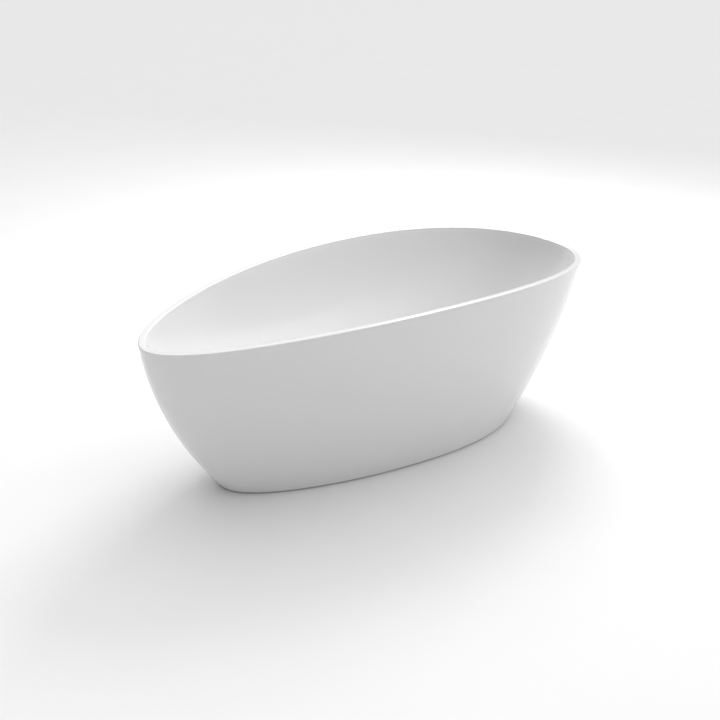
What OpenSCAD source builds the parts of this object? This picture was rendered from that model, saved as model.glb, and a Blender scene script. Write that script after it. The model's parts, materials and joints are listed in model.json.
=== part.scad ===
// Freestanding bathtub: a double-skin acrylic tub on a levelling cradle, with its waste,
// push plug, trap and overflow. Millimetres, +Z up, +X along the tub towards its wider end.
// The origin is on the floor, under the middle of the rim's box.

/* [Tub] */
// Overall length over the rim
tub_length = 1700; // [1400:10:1900]
// Overall width over the rim
tub_width = 780; // [700:5:950]
// Height of the rim above the floor, halfway along
tub_height = 586; // [560:2:700]
// How much lower the rim is at its two ends
rim_drop = 46; // [0:2:60]
// Clear height between the floor and the skirt
skirt_gap = 5; // [3:1:12]
// Length of the skirt at its lower edge
base_length = 1188; // [1100:2:1300]
// Width of the skirt at its lower edge
base_width = 572; // [540:2:640]

/* [Shells] */
// Width of the flat rim
rim_width = 22; // [20:1:32]
// Radius on the rim's edges
rim_edge = 4; // [2:0.5:5]
// Thickness of the rim flange
flange_thick = 6; // [5:0.5:8]
// Thickness of the basin
basin_thick = 6; // [5:0.5:8]
// Thickness of the skirt
skirt_thick = 5; // [4:0.5:6]
// Width of the lip turned in at the skirt's lower edge
lip_width = 35; // [30:1:40]

/* [Basin] */
// Height of the basin's floor above the room's floor
basin_floor = 160; // [160:1:180]
// Length of the basin where its walls would meet its floor
basin_length = 1060; // [1000:10:1160]
// Width of the basin where its walls would meet its floor
basin_width = 390; // [380:5:470]
// Reach of the round corner across the floor
corner_reach = 70; // [55:5:80]
// Share of the wall's height that the round corner takes
corner_rise = 0.34; // [0.2:0.02:0.4]

/* [Cradle] */
// Thickness of the floor board
board_thick = 18; // [15:1:22]
// Leg of the angle iron
angle_leg = 30; // [25:1:35]
// Thickness of the angle iron
angle_thick = 3; // [2.5:0.5:4]
// Distance of each rail from the waste's centre line
rail_offset = 60; // [55:1:65]

/* [Feet] */
// Thread radius of the levelling rods
rod_radius = 6; // [5:0.5:7]
// Radius of a foot pad
pad_radius = 24; // [20:1:26]
// How far each foot screws down from its highest place
foot_travel = 20; // [10:1:20]

/* [Waste] */
// Place of the waste along and across the tub
drain_place = [0, 0]; // [-10:1:10]
// Radius of the hole through the basin's floor
drain_hole = 26; // [25:0.5:28]
// Outer radius of the waste and trap pipes
pipe_radius = 20; // [20:0.5:21]
// Wall of the waste, trap and overflow fittings
pipe_wall = 2.5; // [2:0.1:3]
// Height of the pipes' centre line above the floor
pipe_height = 75; // [70:1:80]

/* [Overflow] */
// Depth of the overflow's centre below the rim
overflow_drop = 85; // [75:1:110]
// Outer radius of the overflow hose
hose_radius = 10; // [9:0.5:11]

/* [Hidden] */
$fn = 64;
around = 80;                     // points around each shell
turned = 40;                     // facets on round hardware
fit = 0.05;                      // running clearance between a shaft and its hole
gap = 0.3;                       // air between pieces of different bodies
cross_angles = [125, 55];        // where the cross members meet the base outline
foot_ids = [0, 1, 2, 3];

// squareness at -X, squareness at +X, and how much wider the +X end is
rim_shape = [1.95, 2.16, 0.168];
base_shape = [2.2, 2.17, 0.286];
base_centre = -32;
basin_centre = -20;
// how full each wall is halfway up: at -X, at +X, along the sides
skirt_bulge = [0.78, 0.58, 0.5];
basin_bulge = [0.5, 0.5, 0.04];

seat_z = basin_floor - 2;                        // the waste flange's recess
under_floor = basin_floor - basin_thick;
board_z = under_floor - board_thick;
leg_z = board_z - angle_thick;                   // underside of the angle's flat leg
hose_bend = 55;
strap_width = 30;
strap_thick = 3;
bolt_radius = 4;
screw_radius = 2.25;
flange_top = basin_floor + 1.5;
tail_radius = drain_hole - 4;                    // the flange's threaded tail
body_radius = tail_radius + 8;
socket_z = board_z - 6;                          // lower end of the tail's thread
cup_x = drain_place.x + 125;
cup_radius = 38;
cup_low = 22;
cup_high = 104;
inlet_seam = 62;                                 // the pipe joints, from the waste's centre
outlet_seam = 190;
washer_thick = 2;
elbow_bend = 35;
outlet_low = 12;
overflow_hole = 24;
face_radius = 35;
hose_reach = 55;
hose_stub = 45;
hose_sink = hose_radius + 10.5;                  // the stub clears the wall behind the plate
body_back = -(hose_sink + hose_radius + pipe_wall + 0.5);
over_body_radius = overflow_hole + 1;
over_clearance = 0.8;                            // between the overflow's body and the skirt
hose_wall = 2;

// ---- outlines --------------------------------------------------------------------------

function ease(s) = s * s * (3 - 2 * s);
function power(v, e) = sign(v) * pow(abs(v), e);
function turn_of(i) = i * 360 / around;

// An oval of half-length 1 and half-width about 1, wider towards +X.
function unit_oval(shape, turn) =
    let (mix = ease(0.5 + 0.5 * cos(turn)),
         e = 2 / (shape[0] * (1 - mix) + shape[1] * mix),
         x = power(cos(turn), e))
    [x, (1 + shape[2] * x) * power(sin(turn), e)];
function oval_reach(shape) = max([for (i = [0:180]) unit_oval(shape, i).y]);
rim_reach = oval_reach(rim_shape);
base_reach = oval_reach(base_shape);

// The same oval made to a given length and width about a place along the tub.
function sized_oval(shape, reach, long, wide, centre, turn) =
    let (p = unit_oval(shape, turn)) [centre + p.x * long / 2, p.y * wide / 2 / reach];
function rim_point(turn) = sized_oval(rim_shape, rim_reach, tub_length, tub_width, 0, turn);
function base_point(turn) =
    sized_oval(base_shape, base_reach, base_length, base_width, base_centre, turn);
function basin_point(turn) =
    sized_oval(base_shape, base_reach, basin_length, basin_width, basin_centre, turn);

// The rim is highest halfway along and falls gently to both ends.
function rim_z(turn) = tub_height - rim_drop * pow(rim_point(turn).x / (tub_length / 2), 2);

// How full a wall is in one direction, blended from its ends and sides.
function side_share(v) = max(v, 0) * max(v, 0);
function fullness(bulge, turn) = bulge[0] * side_share(-cos(turn))
    + bulge[1] * side_share(cos(turn)) + bulge[2] * sin(turn) * sin(turn);
function swell(full, t) = t + full * t * (1 - t);

// A ring moved inwards by a distance, square to its own outline in plan.
function inset(ring, d) = [for (i = [0:len(ring) - 1])
    let (n = len(ring),
         along = ring[(i + 1) % n] - ring[(i + n - 1) % n],
         out = [along.y, -along.x] / norm([along.x, along.y]))
    [ring[i].x - d * out.x, ring[i].y - d * out.y, ring[i].z]];
function raised(p, z) = [p.x, p.y, z];
function lowered(ring, d) = [for (p = ring) p - [0, 0, d]];

// ---- skirt surface ---------------------------------------------------------------------

// The skirt's point at a share t of the way up, from its lower edge to the rim.
function skirt_point(turn, t) =
    let (low = base_point(turn), high = rim_point(turn))
    raised(low + (high - low) * swell(fullness(skirt_bulge, turn), t),
        skirt_gap + t * (rim_z(turn) - skirt_gap));
function skirt_level(t) = [for (i = [0:around - 1]) skirt_point(turn_of(i), t)];
// The same surface a set distance below the rim, or above the lower edge.
function skirt_below(d) = [for (i = [0:around - 1])
    skirt_point(turn_of(i), 1 - d / (rim_z(turn_of(i)) - skirt_gap))];
function skirt_above(d) = [for (i = [0:around - 1])
    skirt_point(turn_of(i), d / (rim_z(turn_of(i)) - skirt_gap))];

// ---- basin surface ---------------------------------------------------------------------

rim_inner = inset(skirt_level(1), rim_width);
basin_edge = [for (i = [0:around - 1]) raised(basin_point(turn_of(i)), basin_floor)];
basin_full = [for (i = [0:around - 1]) fullness(basin_bulge, turn_of(i))];

function wall_point(i, s) = let (reach = rim_inner[i] - basin_edge[i])
    raised(basin_edge[i] + reach * swell(basin_full[i], s), basin_floor + s * reach.z);
function wall_level(s) = [for (i = [0:around - 1]) wall_point(i, s)];

// The corner curve starts on the floor, aims at the corner and ends along the wall.
corner_aim = [for (i = [0:around - 1])
    let (reach = rim_inner[i] - basin_edge[i])
    raised(basin_edge[i] + reach * basin_full[i] * corner_rise * corner_rise, basin_floor)];
// A ring drawn in towards the basin's middle, so that its ends and its sides come in by d.
function shrunk(ring, d) = [for (p = ring) [
    basin_centre + (p.x - basin_centre) * (1 - 2 * d / basin_length),
    p.y * (1 - 2 * d / basin_width), p.z]];
corner_start = shrunk(corner_aim, corner_reach);
corner_end = wall_level(corner_rise);
function corner_ring(v) = [for (i = [0:around - 1])
    corner_start[i] * (1 - v) * (1 - v) + corner_aim[i] * 2 * v * (1 - v) + corner_end[i] * v * v];

corner_steps = 6;
wall_steps = 7;
wall_end = 1 - rim_edge / (tub_height - rim_drop - basin_floor);   // where the edge's round starts
basin_rings = [
    for (k = [0:corner_steps - 1]) corner_ring(k / corner_steps),
    for (k = [0:wall_steps]) wall_level(corner_rise + (wall_end - corner_rise) * k / wall_steps)];

// Each ring moved out of the basin by the shell's thickness, square to the surface.
function away(a, b) = let (c = cross(a, b)) c / norm(c);
function backed(rings, d, j) = [for (i = [0:around - 1])
    let (along = rings[j][(i + 1) % around] - rings[j][(i + around - 1) % around],
         up = rings[j + 1][i] - rings[max(j - 1, 0)][i])
    j == 0 ? rings[0][i] - [0, 0, d] : rings[j][i] + d * away(along, up)];
basin_backs = [for (j = [0:len(basin_rings) - 2]) backed(basin_rings, basin_thick, j)];

// ---- solids swept through rings --------------------------------------------------------

function band(n, a, b) = [for (i = [0:n - 1]) let (k = (i + 1) % n)
    each [[a * n + i, b * n + i, b * n + k], [a * n + i, b * n + k, a * n + k]]];
function turned_round(face) = [face[2], face[1], face[0]];

// A solid closed by its first and last rings.
module capped(rings) {
    n = len(rings[0]);
    last = len(rings) - 1;
    bands = [for (j = [0:last - 1]) each band(n, j, j + 1)];
    lids = [[for (i = [0:n - 1]) i], [for (i = [0:n - 1]) last * n + n - 1 - i]];
    polyhedron([for (ring = rings) each ring], concat(bands, lids), convexity = 6);
}

// A solid whose last ring joins its first, as in a hoop.
module looped(rings) {
    n = len(rings[0]);
    m = len(rings);
    polyhedron([for (ring = rings) each ring],
        [for (j = [0:m - 1]) each band(n, j, (j + 1) % m)], convexity = 6);
}

// ---- where things stand ----------------------------------------------------------------

waste_at = [drain_place.x, drain_place.y];
foot_inset = lip_width + pad_radius + 18;
function cross_x(side) = base_point(cross_angles[side]).x;
function inwards(side) = side == 0 ? 1 : -1;
// The base outline beside each cross member; end 0 is the front, at -Y.
function edge_y(side, end) = base_point(cross_angles[side]).y * (end == 0 ? -1 : 1);
function towards(end) = end == 0 ? 1 : -1;
function foot_at(id) = let (side = floor(id / 2), end = id % 2)
    [cross_x(side) + inwards(side) * angle_leg / 2, edge_y(side, end) + towards(end) * foot_inset];
strap_inset = 6;
function strap_y(side, end) =
    edge_y(side, end) + towards(end) * (strap_inset + strap_width / 2);

// The overflow looks square out of the front wall, a set depth below the rim.
over_index = around * 3 / 4;
function wall_normal(level) = -away(
    wall_point(over_index + 1, level) - wall_point(over_index - 1, level),
    wall_point(over_index, level + 0.01) - wall_point(over_index, level - 0.01));
// The room left between the back of the overflow's body and the skirt, at its nearest edge.
function over_room(level) =
    let (n = wall_normal(level),
         edge = wall_point(over_index, level) + n * body_back
             + [0, -n.z, n.y] * over_body_radius,
         share = (edge.z - skirt_gap) / (tub_height - skirt_gap))
    edge.y - skirt_thick - skirt_point(over_index * 360 / around, share).y;
// Where the shells are too close together, it stands as much lower as its body needs.
over_levels = [for (drop = [overflow_drop:2.5:tub_height / 2])
    let (level = 1 - drop / (tub_height - basin_floor))
    if (over_room(level) >= over_clearance) level];
over_level = over_levels[0];
over_at = wall_point(over_index, over_level);
over_normal = wall_normal(over_level);
over_tip = acos(over_normal.z);
over_spin = atan2(over_normal.y, over_normal.x);
// Down the wall, in the overflow's own frame this is +X.
over_down = [cos(over_tip) * cos(over_spin), cos(over_tip) * sin(over_spin), -sin(over_tip)];

module at_foot(id) { translate([foot_at(id).x, foot_at(id).y, 0]) children(); }
module at_waste() { translate([waste_at.x, waste_at.y, 0]) children(); }
module at_overflow() { translate(over_at) rotate([0, over_tip, over_spin]) children(); }
module along_x(x, z) { translate([x, waste_at.y, z]) rotate([0, 90, 0]) children(); }

module ring(outer, inner, low, high) {
    translate([0, 0, low]) difference() {
        cylinder(r = outer, h = high - low, $fn = turned);
        translate([0, 0, -1]) cylinder(r = inner, h = high - low + 2, $fn = turned);
    }
}
module disc(radius, low, high) {
    translate([0, 0, low]) cylinder(r = radius, h = high - low, $fn = turned);
}
module hex(across, low, high) {
    translate([0, 0, low]) cylinder(r = across / sqrt(3), h = high - low, $fn = 6);
}
module hex_nut(across, bore, low, high) {
    difference() {
        hex(across, low, high);
        disc(bore, low - 1, high + 1);
    }
}

// ---- shells ----------------------------------------------------------------------------

// The adhesive bead lies under the flange, just inside the skirt.
bead_edges = [skirt_thick + gap, skirt_thick + gap + 6];
bead_height = 6;

module inner_shell() {
    bevel = rim_edge * 0.3;
    under = skirt_below(flange_thick);
    rim_rings = [
        lowered(inset(rim_inner, -bevel), bevel),
        inset(rim_inner, -rim_edge),
        inset(skirt_level(1), rim_edge),
        lowered(inset(skirt_level(1), bevel), bevel),
        skirt_below(rim_edge),
        under,
        inset(under, skirt_thick),
        inset(under, bead_edges[0]),
        inset(under, bead_edges[1]),
        lowered(inset(rim_inner, -basin_thick), flange_thick)];
    backs = [for (j = [len(basin_backs) - 1:-1:0]) basin_backs[j]];
    color("white") difference() {
        capped(concat(basin_rings, rim_rings, backs));
        at_waste() disc(drain_hole, basin_floor - 20, basin_floor + 5);
        at_waste() disc(tail_radius + 14, seat_z, basin_floor + 5);
        at_overflow() disc(overflow_hole, -20, 10);
        at_overflow() disc(face_radius + 1.5, -2, 10);
        at_overflow() disc(face_radius - 2, -20, -5);
    }
}

module outer_skirt() {
    steps = 12;
    top = skirt_below(flange_thick);
    outside = [for (k = [0:steps - 1]) skirt_level(k / steps)];
    inside = [for (k = [steps - 1:-1:1]) inset(skirt_level(k / steps), skirt_thick)];
    lip_ring = skirt_above(skirt_thick);
    color("white") difference() {
        looped(concat(outside, [top, inset(top, skirt_thick)], inside, [
            inset(lip_ring, skirt_thick), inset(lip_ring, lip_width),
            inset(skirt_level(0), lip_width)]));
        at_straps() disc(screw_radius, skirt_gap - 1, lip_top + 1);
    }
}

module rim_adhesive() {
    under = skirt_below(flange_thick);
    low = skirt_below(flange_thick + bead_height);
    color("ivory") looped([
        inset(under, bead_edges[1]), inset(low, bead_edges[0] + 1),
        inset(low, bead_edges[0]), inset(under, bead_edges[0])]);
}

// ---- board, cradle and straps ----------------------------------------------------------

screw_spots = [for (x = [-165, -55, 55, 165]) for (side = [-1, 1])
    [waste_at.x + x, waste_at.y + side * (rail_offset + angle_leg / 2)]];

module base_board() {
    edge = 8;
    color("burlywood") difference() {
        translate([0, 0, board_z]) linear_extrude(board_thick)
            polygon([for (p = shrunk(corner_aim, corner_reach + edge)) [p.x, p.y]]);
        at_waste() disc(body_radius + 15, board_z - 1, under_floor + 1);
        for (spot = screw_spots) translate([spot.x, spot.y, 0])
            disc(screw_radius, board_z - 1, board_z + 14);
    }
}

// One angle iron along +X: flat leg on top, reaching towards +Y, upright leg below it.
module angle_iron(long) {
    translate([0, 0, leg_z]) cube([long, angle_leg, angle_thick]);
    translate([0, 0, board_z - angle_leg]) cube([long, angle_thick, angle_leg]);
}

module rail(end) {
    from_x = cross_x(0) + angle_leg;
    to_x = cross_x(1) - angle_leg;
    side = end == 0 ? -1 : 1;
    translate([from_x, waste_at.y + side * rail_offset, 0])
        mirror([0, end == 0 ? 1 : 0, 0]) angle_iron(to_x - from_x);
}

module cross_member(side) {
    clear = strap_inset + 2;
    front = edge_y(side, 0) + clear;
    back = edge_y(side, 1) - clear;
    translate([cross_x(side), front, 0])
        mirror([side == 0 ? 0 : 1, 0, 0]) mirror([1, -1, 0]) angle_iron(back - front);
}

module cradle_frame() {
    color("dimgray") difference() {
        union() {
            for (k = [0, 1]) cross_member(k);
            for (k = [0, 1]) rail(k);
        }
        for (id = foot_ids) at_foot(id) disc(rod_radius + 1, leg_z - 1, board_z + 1);
        for (spot = screw_spots) translate([spot.x, spot.y, 0])
            disc(screw_radius + fit, leg_z - 1, board_z + 1);
        at_bolts() disc(bolt_radius + fit, -20, 20);
    }
}

module weld_nuts() {
    color("silver") for (id = foot_ids) at_foot(id) rotate(30)
        hex_nut(rod_radius * 3.1, rod_radius + fit, leg_z - 10, leg_z);
}

module board_screws() {
    color("silver") for (spot = screw_spots) translate([spot.x, spot.y, 0]) union() {
        disc(screw_radius, leg_z, board_z + 14);
        disc(screw_radius * 2, leg_z - 2.5, leg_z);
    }
}

// A strap stands inside each upright leg, with its foot on the skirt's lip.
lip_top = skirt_gap + skirt_thick;
bolt_z = board_z - angle_leg / 2 - angle_thick / 2;
strap_ids = [for (side = [0, 1]) for (end = [0, 1]) [side, end]];

module at_straps() {
    for (id = strap_ids)
        translate([cross_x(id[0]) + inwards(id[0]) * (angle_thick + strap_width * 0.6),
            strap_y(id[0], id[1]) - towards(id[1]) * 5, 0]) children();
}
// Along each bolt, from the outside of the upright leg inwards.
module at_bolts() {
    for (id = strap_ids)
        translate([cross_x(id[0]), strap_y(id[0], id[1]), bolt_z])
            rotate([0, inwards(id[0]) * 90, 0]) children();
}

module skirt_straps() {
    top_z = leg_z - 1;
    color("silver") difference() {
        for (id = strap_ids)
            translate([cross_x(id[0]), strap_y(id[0], id[1]) - strap_width / 2, 0])
            mirror([id[0] == 0 ? 0 : 1, 0, 0]) union() {
                translate([angle_thick, 0, lip_top]) cube([strap_thick, strap_width, top_z - lip_top]);
                translate([angle_thick, 0, lip_top]) cube([strap_width, strap_width, strap_thick]);
            }
        at_bolts() disc(bolt_radius + fit, -20, 20);
        at_straps() disc(screw_radius + fit, lip_top - 1, lip_top + strap_thick + 1);
    }
}

module strap_bolts() {
    color("silver") at_bolts() union() {
        hex(13, -5.3, 0);
        disc(bolt_radius, -0.5, angle_thick + strap_thick + 9);
    }
}

module strap_nuts() {
    color("silver") at_bolts()
        hex_nut(13, bolt_radius + fit, angle_thick + strap_thick, angle_thick + strap_thick + 6.5);
}

module lip_screws() {
    head_low = lip_top + strap_thick;
    color("silver") at_straps() union() {
        disc(screw_radius, skirt_gap, head_low);
        disc(screw_radius * 2, head_low, head_low + 2.5);
    }
}

// ---- levelling feet --------------------------------------------------------------------

socket_low = 6;
pad_top = 16;
collar_low = pad_top + gap;
collar_high = collar_low + 8;
rod_top = leg_z + foot_travel;

module foot_pad(id) {
    color("black") at_foot(id) difference() {
        rotate_extrude($fn = turned) polygon([
            [0, 0], [pad_radius - 1, 0], [pad_radius, 1], [pad_radius, 6], [rod_radius * 2, 9],
            [rod_radius * 2, pad_top], [0, pad_top]]);
        disc(rod_radius + fit, socket_low, pad_top + 1);
    }
}

module foot_rod(id) {
    color("silver") at_foot(id) union() {
        disc(rod_radius, socket_low + gap, rod_top);
        hex(rod_radius * 3.1, collar_low, collar_high);
    }
}

module lock_nut(id) {
    color("silver") at_foot(id) rotate(30)
        hex_nut(rod_radius * 3.1, rod_radius + fit, leg_z - 10 - gap - 6, leg_z - 10 - gap);
}

// ---- waste and push plug ---------------------------------------------------------------

plug_radius = tail_radius + 9;
cartridge_radius = 7;
stem_radius = 4;
chamber_radius = 6;
spoke_z = board_z - 4;
guide_z = under_floor - 10;
guide_high = under_floor - 4;
chamber_low = guide_z - 33;
collar_z = chamber_low + 11;

module waste_flange() {
    bore = tail_radius - 3;
    color("gainsboro") at_waste() union() {
        rotate_extrude($fn = turned) polygon([
            [bore, socket_z + 2], [tail_radius, socket_z + 2], [tail_radius, seat_z + 1],
            [tail_radius + 13, seat_z + 1], [tail_radius + 13, flange_top - 1],
            [tail_radius + 12, flange_top], [tail_radius + 4, flange_top],
            [bore + 1, seat_z + 1.5], [bore, seat_z]]);
        ring(cartridge_radius + 2.5, cartridge_radius + fit, spoke_z, spoke_z + 5);
        for (a = [0, 120, 240]) rotate(a)
            translate([cartridge_radius + 1.5, -1.5, spoke_z]) cube([bore - cartridge_radius - 1, 3, 5]);
    }
}

module flange_gasket() {
    color("dimgray") at_waste() ring(tail_radius + 12, tail_radius + 4, seat_z, seat_z + 1);
}

module lower_gasket() {
    color("dimgray") at_waste() ring(tail_radius + 11, drain_hole + 1, under_floor - 3, under_floor);
}

module waste_body() {
    stub = inlet_seam;
    hose_bore = hose_radius - pipe_wall;
    color("whitesmoke") difference() {
        union() {
            at_waste() disc(tail_radius + 11, under_floor - 7, under_floor - 3);
            at_waste() disc(body_radius, pipe_height - 25, under_floor - 6);
            along_x(waste_at.x, pipe_height) disc(pipe_radius, 0, stub);
            at_waste() translate([0, 0, pipe_height]) rotate([90, 0, 0]) disc(hose_radius, 0, hose_reach);
        }
        at_waste() disc(tail_radius + fit, socket_z, under_floor);
        at_waste() disc(body_radius - pipe_wall - 1.5, pipe_height - 21, socket_z - 2);
        at_waste() disc(tail_radius - 3, socket_z - 3, socket_z + 1);
        along_x(waste_at.x, pipe_height) disc(pipe_radius - pipe_wall, 0, stub + 1);
        at_waste() translate([0, 0, pipe_height]) rotate([90, 0, 0]) disc(hose_bore, 0, hose_reach + 1);
    }
}

module plug_cap() {
    low = flange_top + 1.5;
    color("gainsboro") at_waste() rotate_extrude($fn = turned) polygon([
        [0, low], [plug_radius - 1, low], [plug_radius, low + 1], [plug_radius, low + 3],
        for (k = [0:8]) [plug_radius * cos(k * 11.25) * 0.97, low + 3.5 + 2.5 * sin(k * 11.25)]]);
}

module plug_seal() {
    color("dimgray") at_waste()
        ring(tail_radius + 7, tail_radius + 4.5, flange_top + gap, flange_top + 1.5);
}

module plug_stem() {
    color("goldenrod") at_waste() union() {
        disc(stem_radius, collar_z, flange_top + 1.5);
        disc(chamber_radius - gap, collar_z, collar_z + 3);
    }
}

module plug_cartridge() {
    color("whitesmoke") at_waste() difference() {
        disc(cartridge_radius, chamber_low - 2, guide_high);
        disc(chamber_radius, chamber_low, guide_z);
        disc(stem_radius + fit, guide_z - 1, guide_high + 1);
    }
}

// A closed coil spring swept along its helix.
module plug_spring() {
    wire = 0.5;
    coil = chamber_radius - gap - wire;
    turns = 4;
    sides = 8;
    steps = turns * 16;
    low = chamber_low + wire + gap;
    high = collar_z - wire - gap;
    color("silver") at_waste() capped([for (k = [0:steps])
        let (a = k * turns * 360 / steps, z = low + (high - low) * k / steps)
        [for (j = [0:sides - 1]) let (b = j * 360 / sides, r = coil + wire * cos(b))
            [r * cos(a), r * sin(a), z - wire * sin(b)]]]);
}

// ---- trap ------------------------------------------------------------------------------

// A ribbed union nut over one pipe seam.
module union_nut(seam) {
    half = 11;
    color("whitesmoke") along_x(waste_at.x + seam, pipe_height) difference() {
        union() {
            disc(pipe_radius + 5, -half, half + washer_thick);
            for (a = [0:45:315]) rotate(a) translate([pipe_radius + 5, 0, -half])
                cylinder(r = 2, h = half * 2 + washer_thick, $fn = 16);
        }
        disc(pipe_radius + fit, -half - 1, half + washer_thick + 1);
    }
}
module pipe_washer(seam) {
    color("dimgray") along_x(waste_at.x + seam, pipe_height)
        ring(pipe_radius, pipe_radius - pipe_wall, 0, washer_thick);
}
module trap_inlet_nut() { union_nut(inlet_seam); }
module trap_outlet_nut() { union_nut(outlet_seam); }
module inlet_washer() { pipe_washer(inlet_seam); }
module outlet_washer() { pipe_washer(outlet_seam); }

module trap_body() {
    from_x = waste_at.x + inlet_seam + washer_thick;
    to_x = waste_at.x + outlet_seam;
    inner = cup_radius - pipe_wall;
    color("whitesmoke") union() {
        difference() {
            union() {
                translate([cup_x, waste_at.y, 0]) disc(cup_radius, cup_low, cup_high);
                along_x(from_x, pipe_height) disc(pipe_radius, 0, to_x - from_x);
            }
            translate([cup_x, waste_at.y, 0]) disc(inner, cup_low + 3, cup_high + 1);
            along_x(from_x - 1, pipe_height) disc(pipe_radius - pipe_wall, 0, to_x - from_x + 2);
        }
        // the baffle that keeps water standing in the cup
        translate([cup_x - 1.5, waste_at.y - inner - 0.5, cup_low + 20])
            cube([3, inner * 2 + 1, cup_high - cup_low - 20]);
    }
}

module trap_cap_seal() {
    color("dimgray") translate([cup_x, waste_at.y, 0]) disc(cup_radius, cup_high, cup_high + washer_thick);
}

module trap_cap() {
    low = cup_high + washer_thick;
    color("whitesmoke") translate([cup_x, waste_at.y, 0]) difference() {
        union() {
            disc(cup_radius + 4, low - 10, low + 3);
            for (a = [0:30:330]) rotate(a) translate([cup_radius + 4, 0, low - 10])
                cylinder(r = 1.5, h = 13, $fn = 16);
        }
        disc(cup_radius + fit, low - 11, low);
    }
}

module outlet_elbow() {
    from_x = waste_at.x + outlet_seam + washer_thick;
    straight = 14;
    bend_x = from_x + straight;
    drop = pipe_height - elbow_bend - outlet_low;
    color("whitesmoke") difference() {
        union() {
            along_x(from_x, pipe_height) disc(pipe_radius, 0, straight);
            bend(bend_x, pipe_radius);
            translate([bend_x + elbow_bend, waste_at.y, 0])
                disc(pipe_radius, outlet_low, outlet_low + drop);
        }
        along_x(from_x - 1, pipe_height) disc(pipe_radius - pipe_wall, 0, straight + 1);
        bend(bend_x, pipe_radius - pipe_wall);
        translate([bend_x + elbow_bend, waste_at.y, 0])
            disc(pipe_radius - pipe_wall, outlet_low - 1, outlet_low + drop);
    }
}
// A quarter turn from +X down to -Z.
module bend(x, radius) {
    translate([x, waste_at.y, pipe_height - elbow_bend]) rotate([90, 0, 0])
        rotate_extrude(angle = 90, $fn = turned) translate([elbow_bend, 0]) circle(radius, $fn = turned);
}

// ---- overflow --------------------------------------------------------------------------

module overflow_faceplate() {
    face = 8;
    color("gainsboro") at_overflow() difference() {
        rotate_extrude($fn = turned) polygon([
            [0, -1], [face_radius, -1], [face_radius, face - 2], [face_radius - 2, face], [0, face]]);
        disc(face_radius - 3, -2, face - 3);
        disc(screw_radius + fit, 0, face + 1);
        // the slot that the water enters by
        translate([face_radius - 8, -16, 0]) cube([12, 32, 4]);
    }
}

module overflow_front_gasket() {
    color("dimgray") at_overflow() ring(face_radius - 0.5, face_radius - 3, -2, -1);
}

module overflow_screw() {
    color("silver") at_overflow() union() {
        disc(screw_radius, -14, 8);
        disc(screw_radius * 2, 8, 10);
    }
}

module overflow_back_gasket() {
    color("dimgray") at_overflow() ring(face_radius - 3, overflow_hole + 1, -7, -5);
}

module overflow_body() {
    neck = overflow_hole - 1;
    color("whitesmoke") at_overflow() difference() {
        union() {
            disc(face_radius - 3, -10, -7);
            disc(neck, -10, -2);
            disc(over_body_radius, body_back, -10);
            translate([0, 0, -hose_sink]) rotate([0, 90, 0]) disc(hose_radius, 0, hose_stub);
        }
        difference() {
            disc(neck - pipe_wall, body_back + pipe_wall, 0);
            translate([-30, -4, -14]) cube([60, 8, 6]);
        }
        disc(screw_radius, -15, 0);
        translate([0, 0, -hose_sink]) rotate([0, 90, 0])
            disc(hose_radius - pipe_wall, 10, hose_stub + 1);
    }
}

// The hose's centre line: off the stub, down between the shells, round and back to the waste.
hose_start = over_at + over_down * hose_stub - over_normal * hose_sink;
hose_low = pipe_height + hose_bend;
hose_join = [waste_at.x, waste_at.y - hose_reach, pipe_height];
hose_foot = 0.1;                                 // how far up the wall the hose leaves it
start_level = over_level - hose_stub / (norm(wall_point(over_index, 1) - wall_point(over_index, 0)));
function beside_wall(u) =
    let (p = wall_point(over_index, start_level + (hose_foot - start_level) * u)
             - over_normal * hose_sink)
    [hose_start.x + (waste_at.x - hose_start.x) * u, p.y, p.z];
hose_y = beside_wall(1).y;
hose_path = concat(
    [hose_start, hose_start + over_down * 15], [for (k = [2:9]) beside_wall(k / 9)],
    [for (k = [0:8]) let (a = k * 90 / 8)
        [waste_at.x, hose_y + hose_bend * (1 - cos(a)), hose_low - hose_bend * sin(a)]],
    [[waste_at.x, (hose_y + hose_bend + hose_join.y) / 2, pipe_height], hose_join]);

function unit(v) = v / norm(v);
function path_step(k) = k == 0 ? over_down : k == len(hose_path) - 1 ? [0, 1, 0]
    : unit(hose_path[k + 1] - hose_path[k - 1]);
function hose_ring(k, radius) = let (dir = path_step(k), up = unit(cross([1, 0, 0], dir)),
    side = cross(up, dir), sides = 16)
    [for (j = [0:sides - 1]) let (a = j * 360 / sides)
        hose_path[k] + radius * (side * cos(a) + up * sin(a))];

module overflow_hose() {
    last = len(hose_path) - 1;
    color("lightgray") looped(concat(
        [for (k = [0:last]) hose_ring(k, hose_radius)],
        [for (k = [last:-1:0]) hose_ring(k, hose_radius - hose_wall)]));
}

module hose_nut() {
    difference() {
        union() {
            disc(hose_radius + 2.2, -12, 8);
            for (a = [22.5:45:337.5]) rotate(a) translate([hose_radius + 1.4, -0.8, -10])
                cube([1.4, 1.6, 16]);
        }
        disc(hose_radius + 0.2, -13, 9);
    }
}
module hose_nut_upper() {
    color("whitesmoke") at_overflow()
        translate([hose_stub, 0, -hose_sink]) rotate([0, 90, 0]) hose_nut();
}
module hose_nut_lower() {
    color("whitesmoke") translate(hose_join) rotate([90, 0, 0]) hose_nut();
}

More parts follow.
